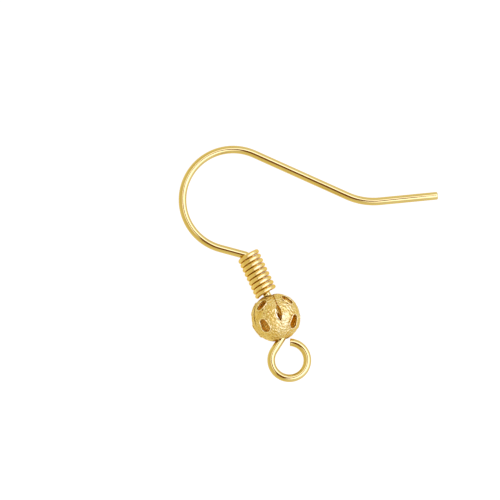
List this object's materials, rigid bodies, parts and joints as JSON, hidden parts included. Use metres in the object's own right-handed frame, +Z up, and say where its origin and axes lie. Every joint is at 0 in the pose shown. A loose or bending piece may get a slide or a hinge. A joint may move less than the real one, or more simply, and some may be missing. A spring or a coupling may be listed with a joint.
{
  "type": "ear wire",
  "caption": "French-hook ear wire of round gold wire with a close-wound coil, a pierced filigree ball and an open eye loop, lying flat.",
  "frame": {"origin": "on the table, below the middle of the ear wire's box as it lies", "axes": "+Z up from the table, +Y from the eye loop towards the arch, +X from the coil towards the tail's tip"},
  "size_m": [0.0198, 0.02, 0.004],
  "materials": {
    "hook_gold": "polished gold plating",
    "coil_gold": "polished gold plating",
    "ball_gold": "gold plating over pressed and pierced sheet"
  },
  "bodies": {
    "hook": {"ear_hook": "hook_gold"},
    "coil": {"coil": "coil_gold"},
    "ball": {"filigree_ball": "ball_gold"}
  },
  "joints": [
    {"name": "ball_spin", "type": "hinge", "parent": "hook", "child": "ball", "pos_m": [-0.00645, -0.00463, 0.00205], "axis": [0.2114, 0.9699, -0.1211], "continuous": true},
    {"name": "coil_turn", "type": "hinge", "parent": "hook", "child": "coil", "pos_m": [-0.00631, -0.00076, 0.00163], "axis": [-0.0044, 0.9944, -0.1056], "range_deg": [-60, 140]}
  ]
}
